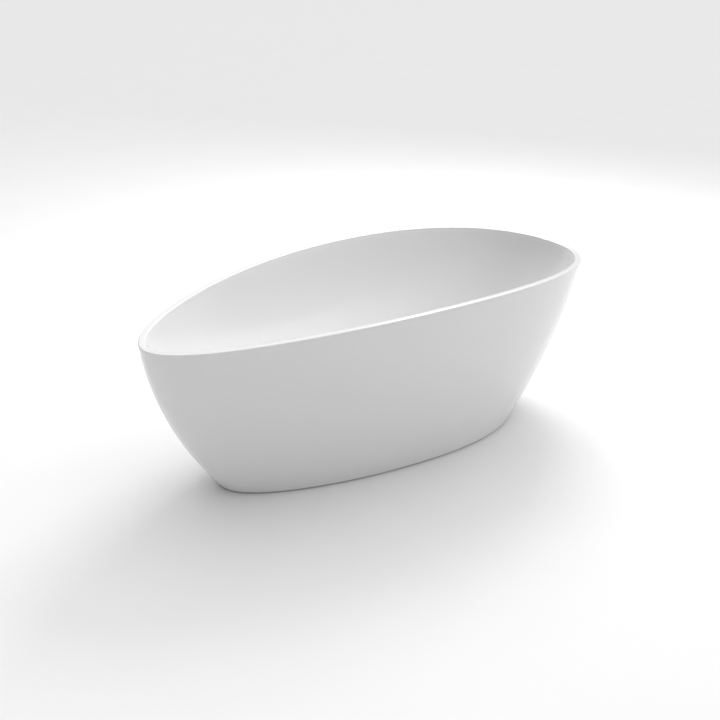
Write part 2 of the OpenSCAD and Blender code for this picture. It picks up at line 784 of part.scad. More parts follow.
inner_shell();
outer_skirt();
rim_adhesive();
base_board();
cradle_frame();
weld_nuts();
board_screws();
skirt_straps();
strap_bolts();
strap_nuts();
lip_screws();
foot_pad(0);  // foot_pad_1
foot_pad(1);  // foot_pad_2
foot_pad(2);  // foot_pad_3
foot_pad(3);  // foot_pad_4
foot_rod(0);  // foot_rod_1
foot_rod(1);  // foot_rod_2
foot_rod(2);  // foot_rod_3
foot_rod(3);  // foot_rod_4
lock_nut(0);  // lock_nut_1
lock_nut(1);  // lock_nut_2
lock_nut(2);  // lock_nut_3
lock_nut(3);  // lock_nut_4
waste_flange();
flange_gasket();
lower_gasket();
waste_body();
plug_cap();
plug_seal();
plug_stem();
plug_cartridge();
plug_spring();
trap_inlet_nut();
inlet_washer();
trap_body();
trap_cap();
trap_cap_seal();
trap_outlet_nut();
outlet_washer();
outlet_elbow();
overflow_faceplate();
overflow_front_gasket();
overflow_screw();
overflow_back_gasket();
overflow_body();
overflow_hose();
hose_nut_upper();
hose_nut_lower();
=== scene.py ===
# %% [markdown]
# # A freestanding bathtub
# This lesson dresses a bathtub that was designed elsewhere. The design comes in as a fixed frame:
# every part is already at its real size and place, in metres, and nothing here moves it.
# What is added is looks: fine smooth shells, turned metal trim, and a material for each thing
# the tub is made of.

# %% Load the frame
import json
import math

import bmesh
import bpy
import numpy as np
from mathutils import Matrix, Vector


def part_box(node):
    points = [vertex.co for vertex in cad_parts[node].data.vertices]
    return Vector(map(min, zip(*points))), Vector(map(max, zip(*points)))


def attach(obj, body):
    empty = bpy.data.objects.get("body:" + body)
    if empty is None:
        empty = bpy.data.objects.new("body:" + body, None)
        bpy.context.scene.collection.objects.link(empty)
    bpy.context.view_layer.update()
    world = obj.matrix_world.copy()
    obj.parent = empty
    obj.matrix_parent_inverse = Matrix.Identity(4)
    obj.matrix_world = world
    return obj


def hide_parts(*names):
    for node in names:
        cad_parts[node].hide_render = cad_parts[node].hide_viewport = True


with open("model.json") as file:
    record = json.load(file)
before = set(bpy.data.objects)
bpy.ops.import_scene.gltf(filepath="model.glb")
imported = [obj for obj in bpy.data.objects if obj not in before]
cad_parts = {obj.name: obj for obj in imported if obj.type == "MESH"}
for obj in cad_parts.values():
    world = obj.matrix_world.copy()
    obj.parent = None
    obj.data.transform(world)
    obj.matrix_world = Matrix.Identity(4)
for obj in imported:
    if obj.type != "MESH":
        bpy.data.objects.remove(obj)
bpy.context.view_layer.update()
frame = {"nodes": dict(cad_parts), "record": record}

print("parts in the frame:", len(frame["nodes"]))

# %% [markdown]
# ## Units and colours
# Sizes are easiest to read in millimetres and Blender works in metres, so one constant turns
# one into the other. Colours are written as sRGB hex values, the way a paint maker gives them,
# and the renderer wants linear light, so one function turns them.

# %% Millimetres and linear colour
MM = 0.001


def linear(hex_value):
    """An sRGB hex colour such as "#f2f2f0" as linear red, green, blue and alpha."""
    shares = [int(hex_value[k:k + 2], 16) / 255 for k in (1, 3, 5)]
    return [s / 12.92 if s <= 0.04045 else ((s + 0.055) / 1.055) ** 2.4 for s in shares] + [1.0]


print("white in linear light:", [round(v, 3) for v in linear("#f2f2f0")])

# %% [markdown]
# ## A helper for shader nodes
# A procedural material is a small chain of nodes. Adding one takes three jobs: make it, set its
# values, and link its inputs. One function does all three, so each material below reads as a
# list of what feeds what.

# %% The add-node helper
def add_node(tree, kind, settings=None, values=None, links=None):
    """Adds one shader node, sets its options and socket values, and links its inputs."""
    node = tree.nodes.new(kind)
    for name, value in (settings or {}).items():
        setattr(node, name, value)
    for socket, value in (values or {}).items():
        node.inputs[socket].default_value = value
    for socket, (source, output) in (links or {}).items():
        tree.links.new(source.outputs[output], node.inputs[socket])
    return node


def start_material(name):
    """An empty node material with its output and one Principled surface."""
    material = bpy.data.materials.new(name)
    material.use_nodes = True
    tree = material.node_tree
    tree.nodes.clear()
    surface = add_node(tree, "ShaderNodeBsdfPrincipled")
    add_node(tree, "ShaderNodeOutputMaterial", links={"Surface": (surface, "BSDF")})
    place = add_node(tree, "ShaderNodeTexCoord")
    return material, tree, surface, place


def two_tone(tree, source, output, low, high, start=0.35, end=0.65):
    """A colour ramp between two hex colours, driven by another node."""
    ramp = add_node(tree, "ShaderNodeValToRGB", links={"Fac": (source, output)})
    ramp.color_ramp.elements[0].position = start
    ramp.color_ramp.elements[1].position = end
    ramp.color_ramp.elements[0].color = linear(low)
    ramp.color_ramp.elements[1].color = linear(high)
    return ramp


def spread(tree, source, output, low, high):
    """Turns a 0 to 1 pattern into a number between low and high."""
    return add_node(tree, "ShaderNodeMapRange", values={"To Min": low, "To Max": high},
                    links={"Value": (source, output)})


print("helpers ready")

# %% [markdown]
# ## Cast acrylic, polished
# The tub is vacuum-formed from cast acrylic sheet. Acrylic has an IOR of 1.49, and a polished
# sheet is very glossy, with a faint long-wave ripple left from forming: it makes a reflected
# edge wander a little. The colour is a neutral white. A light clear layer is not needed,
# because the sheet itself is the glossy layer.
# The ripple is about 60 mm long and hundredths of a millimetre deep. The finest haze is the
# polishing marks, drawn at 3 mm where the real ones are finer than the picture can show.

# %% White acrylic
def polished_acrylic():
    material, tree, surface, place = start_material("polished_white_acrylic")
    ripple_length = 60 * MM
    mark_length = 3 * MM
    ripple = add_node(tree, "ShaderNodeTexNoise", values={
        "Scale": 1 / ripple_length, "Detail": 1.0, "Roughness": 0.4},
        links={"Vector": (place, "Object")})
    marks = add_node(tree, "ShaderNodeTexNoise", values={
        "Scale": 1 / mark_length, "Detail": 3.0, "Roughness": 0.6},
        links={"Vector": (place, "Object")})
    tone = two_tone(tree, marks, "Fac", "#e7e7e7", "#eaeaea")
    haze = spread(tree, marks, "Fac", 0.06, 0.11)
    bump = add_node(tree, "ShaderNodeBump", values={"Strength": 0.1, "Distance": 0.1 * MM},
                    links={"Height": (ripple, "Fac")})
    surface.inputs["IOR"].default_value = 1.49
    tree.links.new(tone.outputs["Color"], surface.inputs["Base Color"])
    tree.links.new(haze.outputs["Result"], surface.inputs["Roughness"])
    tree.links.new(bump.outputs["Normal"], surface.inputs["Normal"])
    return material


acrylic = polished_acrylic()
print("made", acrylic.name)

# %% [markdown]
# ## Polished chrome
# The plug and the overflow plate are turned brass, plated with chrome and polished. Chrome is a
# metal, so its colour is its reflection: a cool light grey. The roughness is low, with fine
# smears from wiping, so highlights are sharp but not perfect.

# %% Chrome
def polished_chrome():
    material, tree, surface, place = start_material("polished_chrome_plate")
    smear_length = 8 * MM
    smears = add_node(tree, "ShaderNodeTexNoise", values={
        "Scale": 1 / smear_length, "Detail": 4.0}, links={"Vector": (place, "Object")})
    haze = spread(tree, smears, "Fac", 0.05, 0.13)
    tone = two_tone(tree, smears, "Fac", "#d3d6d9", "#dfe2e4")
    surface.inputs["Metallic"].default_value = 1.0
    tree.links.new(tone.outputs["Color"], surface.inputs["Base Color"])
    tree.links.new(haze.outputs["Result"], surface.inputs["Roughness"])
    return material


chrome = polished_chrome()
print("made", chrome.name)

# %% [markdown]
# ## Zinc-plated steel
# Nuts, rods, screws and straps are mild steel with a bright zinc plate. The plate crystallises
# in small patches, so the tone changes in cells a few millimetres across, and it is duller than
# chrome. One cell pattern drives both the tone and the shine.

# %% Zinc plate
def zinc_steel():
    material, tree, surface, place = start_material("zinc_plated_steel")
    crystal_width = 3 * MM
    crystals = add_node(tree, "ShaderNodeTexVoronoi", values={"Scale": 1 / crystal_width},
                        links={"Vector": (place, "Object")})
    tone = two_tone(tree, crystals, "Distance", "#a9adb2", "#c6c9cc", 0.1, 0.8)
    haze = spread(tree, crystals, "Distance", 0.28, 0.42)
    surface.inputs["Metallic"].default_value = 1.0
    tree.links.new(tone.outputs["Color"], surface.inputs["Base Color"])
    tree.links.new(haze.outputs["Result"], surface.inputs["Roughness"])
    return material


zinc = zinc_steel()
print("made", zinc.name)

# %% [markdown]
# ## Powder-coated steel
# The cradle is angle iron with a baked powder coat. The powder melts into a skin with a fine
# orange peel, about a millimetre from lump to lump, in a satin black.

# %% Powder coat
def powder_coat():
    material, tree, surface, place = start_material("black_powder_coat")
    peel_length = 1.2 * MM
    peel = add_node(tree, "ShaderNodeTexNoise", values={"Scale": 1 / peel_length, "Detail": 2.0},
                    links={"Vector": (place, "Object")})
    tone = two_tone(tree, peel, "Fac", "#1b1c1e", "#26282a")
    haze = spread(tree, peel, "Fac", 0.38, 0.5)
    bump = add_node(tree, "ShaderNodeBump", values={"Strength": 0.5, "Distance": 0.06 * MM},
                    links={"Height": (peel, "Fac")})
    surface.inputs["IOR"].default_value = 1.5
    tree.links.new(tone.outputs["Color"], surface.inputs["Base Color"])
    tree.links.new(haze.outputs["Result"], surface.inputs["Roughness"])
    tree.links.new(bump.outputs["Normal"], surface.inputs["Normal"])
    return material


coated = powder_coat()
print("made", coated.name)

# %% [markdown]
# ## Chipboard
# The floor board is pressed wood chips. Each chip is a few millimetres across and has its own
# brown, from straw to bark, and the surface is dry and slightly open. Cells with a random
# colour each are the simplest pattern that looks like chips.

# %% Chipboard
def chipboard():
    material, tree, surface, place = start_material("pressed_chipboard")
    chip_width = 4 * MM
    chips = add_node(tree, "ShaderNodeTexVoronoi", values={"Scale": 1 / chip_width},
                     links={"Vector": (place, "Object")})
    shade = add_node(tree, "ShaderNodeSeparateColor", links={"Color": (chips, "Color")})
    tone = two_tone(tree, shade, "Red", "#8f6d42", "#cdae7d", 0.0, 1.0)
    bump = add_node(tree, "ShaderNodeBump", values={"Strength": 0.6, "Distance": 0.2 * MM},
                    links={"Height": (chips, "Distance")})
    surface.inputs["Roughness"].default_value = 0.85
    tree.links.new(tone.outputs["Color"], surface.inputs["Base Color"])
    tree.links.new(bump.outputs["Normal"], surface.inputs["Normal"])
    return material


board = chipboard()
print("made", board.name)

# %% [markdown]
# ## Rubber
# Pads and gaskets are black rubber, moulded against a lightly blasted tool. It is dark and dull,
# with a grain of about half a millimetre, drawn at one millimetre so that it shows.

# %% Rubber
def moulded_rubber():
    material, tree, surface, place = start_material("moulded_black_rubber")
    grain_width = 1 * MM
    grain = add_node(tree, "ShaderNodeTexNoise", values={"Scale": 1 / grain_width, "Detail": 2.0},
                     links={"Vector": (place, "Object")})
    tone = two_tone(tree, grain, "Fac", "#141414", "#222222")
    haze = spread(tree, grain, "Fac", 0.65, 0.85)
    bump = add_node(tree, "ShaderNodeBump", values={"Strength": 0.5, "Distance": 0.08 * MM},
                    links={"Height": (grain, "Fac")})
    surface.inputs["IOR"].default_value = 1.52
    tree.links.new(tone.outputs["Color"], surface.inputs["Base Color"])
    tree.links.new(haze.outputs["Result"], surface.inputs["Roughness"])
    tree.links.new(bump.outputs["Normal"], surface.inputs["Normal"])
    return material


rubber = moulded_rubber()
print("made", rubber.name)

# %% [markdown]
# ## Moulded plastics
# The trap and waste fittings are white polypropylene: slightly waxy, satin, with a faint
# texture from the mould. The hose is grey PVC. The adhesive bead is a cured methacrylate, warm
# off-white and uneven. All three differ only in colour, shine and grain, so one function takes
# those as arguments.

# %% Polypropylene, PVC and adhesive
def moulded_plastic(name, dark, light, shine, grain_mm, depth_mm):
    material, tree, surface, place = start_material(name)
    grain = add_node(tree, "ShaderNodeTexNoise", values={
        "Scale": 1 / (grain_mm * MM), "Detail": 2.0}, links={"Vector": (place, "Object")})
    tone = two_tone(tree, grain, "Fac", dark, light)
    haze = spread(tree, grain, "Fac", shine - 0.05, shine + 0.05)
    bump = add_node(tree, "ShaderNodeBump", values={"Strength": 0.4, "Distance": depth_mm * MM},
                    links={"Height": (grain, "Fac")})
    surface.inputs["IOR"].default_value = 1.49
    tree.links.new(tone.outputs["Color"], surface.inputs["Base Color"])
    tree.links.new(haze.outputs["Result"], surface.inputs["Roughness"])
    tree.links.new(bump.outputs["Normal"], surface.inputs["Normal"])
    return material


polypropylene = moulded_plastic("white_polypropylene", "#dcdcd8", "#e6e6e3", 0.38, 2.0, 0.05)
hose_pvc = moulded_plastic("grey_flexible_pvc", "#8d9194", "#9da1a4", 0.45, 3.0, 0.05)
bead = moulded_plastic("cured_adhesive", "#cfc8ae", "#e0dac4", 0.5, 6.0, 0.6)
print("made", polypropylene.name, hose_pvc.name, bead.name)

# %% [markdown]
# ## Turned brass and spring wire
# The plug's stem is free-cutting brass straight from the lathe: fine rings run round it. Real
# ones are a tenth of a millimetre apart, and these are drawn about three millimetres apart. The
# wave pattern repeats every 0.314 of a unit at a scale of one, so its scale comes from that and
# the spacing. The spring is bright drawn wire.

# %% Brass and spring steel
def turned_brass():
    material, tree, surface, place = start_material("turned_brass")
    wave_repeat = 0.314
    ring_spacing = 3.14 * MM
    rings = add_node(tree, "ShaderNodeTexWave", {"bands_direction": "Z"}, {
        "Scale": wave_repeat / ring_spacing, "Distortion": 0.4}, {"Vector": (place, "Object")})
    tone = two_tone(tree, rings, "Fac", "#b8964f", "#cdae68", 0.0, 1.0)
    bump = add_node(tree, "ShaderNodeBump", values={"Strength": 0.3, "Distance": 0.03 * MM},
                    links={"Height": (rings, "Fac")})
    surface.inputs["Metallic"].default_value = 1.0
    surface.inputs["Roughness"].default_value = 0.28
    tree.links.new(tone.outputs["Color"], surface.inputs["Base Color"])
    tree.links.new(bump.outputs["Normal"], surface.inputs["Normal"])
    return material


def drawn_wire():
    material, tree, surface, place = start_material("bright_spring_wire")
    streak_length = 2 * MM
    streaks = add_node(tree, "ShaderNodeTexNoise", values={"Scale": 1 / streak_length, "Detail": 2.0},
                       links={"Vector": (place, "Object")})
    haze = spread(tree, streaks, "Fac", 0.2, 0.35)
    tone = two_tone(tree, streaks, "Fac", "#9a9ea3", "#b4b8bc")
    surface.inputs["Metallic"].default_value = 1.0
    tree.links.new(tone.outputs["Color"], surface.inputs["Base Color"])
    tree.links.new(haze.outputs["Result"], surface.inputs["Roughness"])
    return material


brass = turned_brass()
wire = drawn_wire()
print("made", brass.name, wire.name)

# %% [markdown]
# ## The tub's outline
# Seen from above the rim is an oval, wider towards one end. A superellipse draws it: the cosine
# and sine of the turn are raised to a power close to one, which makes an end a little squarer or
# a little more pointed, and an egg factor widens the oval towards +X. The rim dips 46 mm from
# its middle to its ends. The overall length, width and height are read from the frame; the shape
# numbers are the design's own.

# %% The oval
skirt_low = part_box("outer_skirt")[0]
shell_low, shell_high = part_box("inner_shell")
tub_length = 2 * min(shell_high.x, -shell_low.x)
tub_width = shell_high.y - shell_low.y
tub_height = shell_high.z
skirt_gap = skirt_low.z
rim_drop = 46 * MM
base_length, base_width, base_centre = 1188 * MM, 572 * MM, -32 * MM
# squareness at -X, squareness at +X, and how much wider the +X end is
rim_shape = (1.95, 2.16, 0.168)
base_shape = (2.2, 2.17, 0.286)


def unit_oval(shape, turn):
    """Points of an oval of half-length one, at each turn in radians."""
    mix = 0.5 + 0.5 * np.cos(turn)
    mix = mix * mix * (3 - 2 * mix)
    power = 2 / (shape[0] * (1 - mix) + shape[1] * mix)
    x = np.sign(np.cos(turn)) * np.abs(np.cos(turn)) ** power
    y = np.sign(np.sin(turn)) * np.abs(np.sin(turn)) ** power
    return np.stack([x, (1 + shape[2] * x) * y], axis=-1)


def sized_oval(shape, length, width, centre, turn):
    """An oval of a given length and width, with the middle of its length at x = centre."""
    reach = unit_oval(shape, np.radians(np.arange(181))).max(axis=0)[1]
    return unit_oval(shape, turn) * [length / 2, width / 2 / reach] + [centre, 0]


# degrees between neighbouring points of every oval
turn_step = 0.75
turns = np.radians(np.arange(0, 360, turn_step))
rim_plan = sized_oval(rim_shape, tub_length, tub_width, 0, turns)
base_plan = sized_oval(base_shape, base_length, base_width, base_centre, turns)
rim_height = tub_height - rim_drop * (rim_plan[:, 0] / (tub_length / 2)) ** 2
print("tub", [round(v, 3) for v in (tub_length, tub_width, tub_height)], "points", len(turns))

# %% [markdown]
# ## Rings
# Both shells are lofted: a stack of rings, each a closed loop of points, joined by quads. A ring
# can be moved inwards square to its own outline, which gives walls their thickness and the rim
# its width. Lofting was chosen over a subdivided cage because every ring can follow the formula
# exactly, so the wide gloss reflections have no lumps.

# %% Ring tools
# edges that turn by more than this many degrees are drawn sharp
CREASE = 35


def inset(ring, distance):
    """A ring moved inwards in plan, square to its own outline."""
    along = np.roll(ring, -1, axis=0) - np.roll(ring, 1, axis=0)
    out = np.stack([along[:, 1], -along[:, 0]], axis=1)
    out = out / np.linalg.norm(out, axis=1, keepdims=True)
    moved = ring.copy()
    moved[:, :2] -= out * distance
    return moved


def lowered(ring, distance):
    """A ring moved straight down."""
    return ring - [0, 0, distance]


def at_height(plan, height):
    """A flat outline lifted to one height, or to a height for each point."""
    return np.column_stack([plan, np.broadcast_to(height, len(plan))])


def loft(name, rings, material, body, node):
    """One closed mesh through a list of rings. The last ring is joined to the first."""
    count = len(rings[0])
    points = np.concatenate(rings)
    around = np.arange(count)
    following = (around + 1) % count
    faces = []
    for k in range(len(rings)):
        near = k * count
        far = ((k + 1) % len(rings)) * count
        faces.append(np.stack([near + around, near + following,
                               far + following, far + around], axis=1))
    return finish_mesh(name, points, np.concatenate(faces).tolist(), material, body, node)


def finish_mesh(name, points, faces, material, body, node):
    """Makes the object, smooths it with sharp creases, and ties it to the frame."""
    mesh = bpy.data.meshes.new(name)
    mesh.from_pydata([tuple(p) for p in points], [], faces)
    working = bmesh.new()
    working.from_mesh(mesh)
    bmesh.ops.recalc_face_normals(working, faces=working.faces)
    working.to_mesh(mesh)
    working.free()
    mesh.shade_smooth()
    mesh.set_sharp_from_angle(angle=math.radians(CREASE))
    mesh.materials.append(material)
    piece = bpy.data.objects.new(name, mesh)
    bpy.context.scene.collection.objects.link(piece)
    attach(piece, body)
    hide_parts(node)
    print(name, "faces:", len(mesh.polygons))
    return piece


sample = inset(at_height(rim_plan, rim_height), 10 * MM)
print("rim width 10 mm in from its edge:", round(float(np.ptp(sample[:, 1])), 3))

# %% [markdown]
# ## The skirt
# The skirt is the outer wall: a second acrylic shell, wide at the rim and drawn in at the floor.
# Between its lower edge and the rim it swells outwards, more at the ends than at the sides. The
# swell is a parabola added to a straight line, blended between ends and sides by how far round
# the tub each point is. A lip is turned in at the floor to stiffen it.

# %% Skirt surface
# how full the wall is at -X, at +X and along the sides
skirt_bulge = (0.78, 0.58, 0.5)
skirt_thick = 5 * MM
lip_width = 35 * MM
flange_thick = 6 * MM


def fullness(bulge):
    """How full the wall is at each turn: its value at -X, at +X and along the sides."""
    left, right = np.clip(-np.cos(turns), 0, 1) ** 2, np.clip(np.cos(turns), 0, 1) ** 2
    return bulge[0] * left + bulge[1] * right + bulge[2] * np.sin(turns) ** 2


def swell(full, share):
    """How far out the wall is at a share of the way up: a straight line plus a parabola."""
    return share + full * share * (1 - share)


def skirt_ring(share):
    """The skirt's outer ring at a share of the way up; share may differ around the ring."""
    grow = swell(fullness(skirt_bulge), share)[:, None]
    plan = base_plan + (rim_plan - base_plan) * grow
    return at_height(plan, skirt_gap + share * (rim_height - skirt_gap))


def skirt_below(distance):
    """The skirt's outer ring a distance below the rim."""
    return skirt_ring(1 - distance / (rim_height - skirt_gap))


def skirt_above(distance):
    """The skirt's outer ring a distance above its lower edge."""
    return skirt_ring(distance / (rim_height - skirt_gap))


half_way = skirt_ring(0.5)
print("skirt half way up:", [round(float(v), 3) for v in np.ptp(half_way[:, :2], axis=0)])

# %% [markdown]
# The rings run up the outside, over the top edge, down the inside and in along the lip. The
# inside is seldom seen, so it keeps only one level in eight.

# %% Skirt mesh
edge_round = 1.5 * MM
inside_step = 8
skirt_levels = np.linspace(0.01, 0.98, 56)
skirt_outside = [inset(skirt_above(0), edge_round),
                 inset(skirt_above(0.3 * edge_round), 0.3 * edge_round),
                 skirt_above(edge_round)] + [skirt_ring(s) for s in skirt_levels]
skirt_top = skirt_below(flange_thick)
skirt_inside = [inset(skirt_ring(s), skirt_thick) for s in skirt_levels[::-inside_step]]
lip_level = skirt_above(skirt_thick)
skirt_lip = [inset(lip_level, skirt_thick), inset(lip_level, lip_width),
             inset(skirt_above(0), lip_width)]
loft("skirt", skirt_outside + [skirt_top, inset(skirt_top, skirt_thick)]
     + skirt_inside + skirt_lip, acrylic, "tub", "outer_skirt")

# %% [markdown]
# ## The basin
# The basin is one shell that runs from the waste hole across the flat floor, up a large round
# corner and the sloping wall, over the rim and back underneath. The corner is a quadratic curve
# that leaves the floor level and meets the wall on its own slope, so no crease shows in the
# gloss. The waste sits in a shallow round recess.

# %% Basin surface
rim_width = 22 * MM
rim_edge = 4 * MM
basin_thick = 6 * MM
basin_floor = 160 * MM
basin_bulge = (0.5, 0.5, 0.04)
basin_length, basin_width, basin_centre = 1060 * MM, 390 * MM, -20 * MM
# how far the round corner reaches in over the floor, and up the wall as a share of its height
corner_reach = 70 * MM
corner_rise = 0.34
rim_inner = inset(at_height(rim_plan, rim_height), rim_width)
basin_plan = sized_oval(base_shape, basin_length, basin_width, basin_centre, turns)
basin_edge = at_height(basin_plan, basin_floor)
basin_reach = rim_inner - basin_edge


def wall_ring(share):
    """The basin's inner wall at a share of the way up, before its foot is rounded."""
    plan = basin_edge + basin_reach * swell(fullness(basin_bulge), share)[:, None]
    plan[:, 2] = basin_floor + share * basin_reach[:, 2]
    return plan


corner_aim = basin_edge + basin_reach * (fullness(basin_bulge) * corner_rise ** 2)[:, None]
corner_aim[:, 2] = basin_floor
drawn_in = [1 - corner_reach / (basin_length / 2), 1 - corner_reach / (basin_width / 2), 1]
basin_middle = np.array([basin_centre, 0, 0])
corner_start = (corner_aim - basin_middle) * drawn_in + basin_middle
corner_end = wall_ring(corner_rise)


def corner_ring(share):
    """A ring of the round corner, at a share of the way from the floor to the wall."""
    rest = 1 - share
    return corner_start * rest ** 2 + corner_aim * 2 * share * rest + corner_end * share * share


print("basin floor to rim:", round(tub_height - basin_floor, 3))

# %% [markdown]
# The floor starts at the waste hole. Its first rings are true circles round the waste, and the
# rest change evenly from a circle into the corner's oval.

# %% Floor rings
waste_low, waste_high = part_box("waste_flange")
waste_centre = np.array([(waste_low.x + waste_high.x) / 2, (waste_low.y + waste_high.y) / 2])
drain_hole = 26 * MM
recess_radius = 36 * MM
recess_depth = 2 * MM
recess_slope = 1 * MM


def waste_circle(radius, height):
    """A circle round the waste with as many points as the other rings."""
    round_plan = waste_centre + radius * np.stack([np.cos(turns), np.sin(turns)], axis=1)
    return at_height(round_plan, height)


recess_edge = waste_circle(recess_radius + recess_slope, basin_floor)
floor_rings = [
    waste_circle(drain_hole, basin_floor - basin_thick),
    waste_circle(drain_hole, basin_floor - recess_depth),
    waste_circle(recess_radius, basin_floor - recess_depth),
    waste_circle(recess_radius + 0.2 * recess_slope, basin_floor - 0.2 * recess_depth),
    recess_edge]
for share in np.linspace(0.1, 0.9, 9):
    floor_rings.append(recess_edge * (1 - share) + corner_start * share)
print("floor rings:", len(floor_rings), "round the waste at", waste_centre.round(4))

# %% [markdown]
# ## The rim
# The rim is flat on top and 22 mm wide, with both edges rounded to a 4 mm radius by the mould.
# The two rounds are quarter circles, drawn with a few rings each. A rounded edge catches light
# that a sharp one would not. The basin's back follows its front at about the sheet's thickness,
# with fewer rings, because it is hidden behind the skirt.

# %% Rim rings and the basin mesh
def quarter_round(inner_ring, towards, radius, steps=6):
    """Rings of a rounded edge. The flat top's ring moves out by the radius and drops by it."""
    rings = []
    for k in range(steps + 1):
        angle = math.pi / 2 * k / steps
        step = inset(inner_ring, -towards * radius * math.sin(angle))
        rings.append(lowered(step, radius * (1 - math.cos(angle))))
    return rings


wall_end = 1 - rim_edge / basin_reach[:, 2]
wall_levels = np.linspace(0, 1, 46)[1:-1]
wall_rings = [wall_ring(corner_rise + (wall_end - corner_rise) * s) for s in wall_levels]
corner_rings = [corner_ring(share) for share in np.linspace(0, 1, 18)]
top_inner = inset(rim_inner, -rim_edge)
top_outer = inset(skirt_ring(np.ones(len(turns))), rim_edge)
inner_edge = quarter_round(top_inner, -1, rim_edge)[::-1]
outer_edge = quarter_round(top_outer, 1, rim_edge)
under = skirt_below(flange_thick)
back_rings = [under, lowered(inset(rim_inner, -basin_thick), flange_thick)]
back_drop = 2 * MM
for share in (0.85, 0.7, 0.55, 0.4, corner_rise):
    behind = inset(wall_ring(np.full(len(turns), share)), -basin_thick)
    back_rings.append(lowered(behind, back_drop))
for share in (0.75, 0.5, 0.25):
    behind = inset(corner_ring(share), -basin_thick * share)
    back_rings.append(lowered(behind, basin_thick * (1 - 0.7 * share)))
back_rings.append(lowered(corner_start, basin_thick))
loft("basin", floor_rings + corner_rings + wall_rings + inner_edge + outer_edge
     + back_rings, acrylic, "tub", "inner_shell")

# %% [markdown]
# ## Turned trim
# The plug's cap and the overflow's plate are turned on a lathe, so their meshes are a profile
# swept round an axis. A profile lists radius and height from the axis out and back, and a fine
# round on each edge gives the chrome the thin highlight that a sharp corner never has. The plug
# stands level; the plate leans with the wall that it is fixed to.

# %% The lathe
# points round one turn of the lathe
TURNED = 96


def edge_round_points(radius, height, size, steps=6):
    """A quarter circle in a profile, from the side of a disc up onto its flat face."""
    return [(radius - size + size * math.cos(angle), height - size + size * math.sin(angle))
            for angle in np.linspace(0, math.pi / 2, steps + 1)]


def turned_rings(profile, centre, axis):
    """Rings of points, one for each profile point, round an axis through centre."""
    lean = Vector((0, 0, 1)).rotation_difference(Vector(axis)).to_matrix()
    rings = []
    for radius, height in profile:
        ring = [lean @ Vector((radius * math.cos(angle), radius * math.sin(angle), height))
                for angle in np.linspace(0, 2 * math.pi, TURNED, endpoint=False)]
        rings.append(np.array(ring) + np.array(centre))
    return rings


print("points in one turned ring:", TURNED)

# %% [markdown]
# The cap is a low dome on a short straight side, with its lower edge rounded off. Its radius
# and height are read from the frame. A tiny hole on the axis keeps every ring a real ring.

# %% Plug cap
cap_low, cap_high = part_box("plug_cap")
cap_radius = (cap_high.x - cap_low.x) / 2
cap_height = cap_high.z - cap_low.z
pin_hole = 0.05 * MM
cap_side = 3 * MM
cap_round = 1 * MM
dome_foot = cap_side + 0.4 * MM
dome_radius = 0.97 * cap_radius
dome = [(dome_radius * math.cos(angle), dome_foot + (cap_height - dome_foot) * math.sin(angle))
        for angle in np.linspace(0.05, math.pi / 2 - 0.02, 20)]
cap_foot = [(pin_hole, 0), (cap_radius - cap_round, 0),
            (cap_radius - 0.3 * cap_round, 0.3 * cap_round), (cap_radius, cap_round)]
cap_profile = cap_foot + [(cap_radius, cap_side)] + dome + [(pin_hole, cap_height)]
cap_centre = ((cap_low.x + cap_high.x) / 2, (cap_low.y + cap_high.y) / 2, cap_low.z)
loft("plug_dome", turned_rings(cap_profile, cap_centre, (0, 0, 1)), chrome, "plug",
     "plug_cap")

# %% [markdown]
# ## The overflow's plate
# The plate is a shallow cup, open towards the wall, with a slot low in its side that the water
# enters by. The slot is made by leaving out the side's quads over a short arc, inside and out,
# and joining the two skins round the gap. Its place comes from the wall's own formula: a set
# drop below the rim, at the middle of the front wall.

# %% Where the plate stands
overflow_drop = 85 * MM
overflow_level = 1 - overflow_drop / (tub_height - basin_floor)
front = int(np.argmin(np.abs(turns - math.radians(270))))
# the wall's direction is taken between points this many degrees to each side
slope_reach = 4.5
reach_along = int(round(slope_reach / turn_step))
wall_here = wall_ring(np.full(len(turns), overflow_level))
wall_above = wall_ring(np.full(len(turns), overflow_level + 0.01))
plate_centre = wall_here[front]
along_wall = wall_here[front + reach_along] - wall_here[front - reach_along]
plate_axis = -np.cross(along_wall, wall_above[front] - plate_centre)
plate_axis = plate_axis / np.linalg.norm(plate_axis)
print("plate at", plate_centre.round(4), "facing", plate_axis.round(3))

# %% [markdown]
# The plate's rings run up the outside, over the face, through the screw hole and back down the
# inside. The slot is left out between two of those rings, on the outside and on the inside.

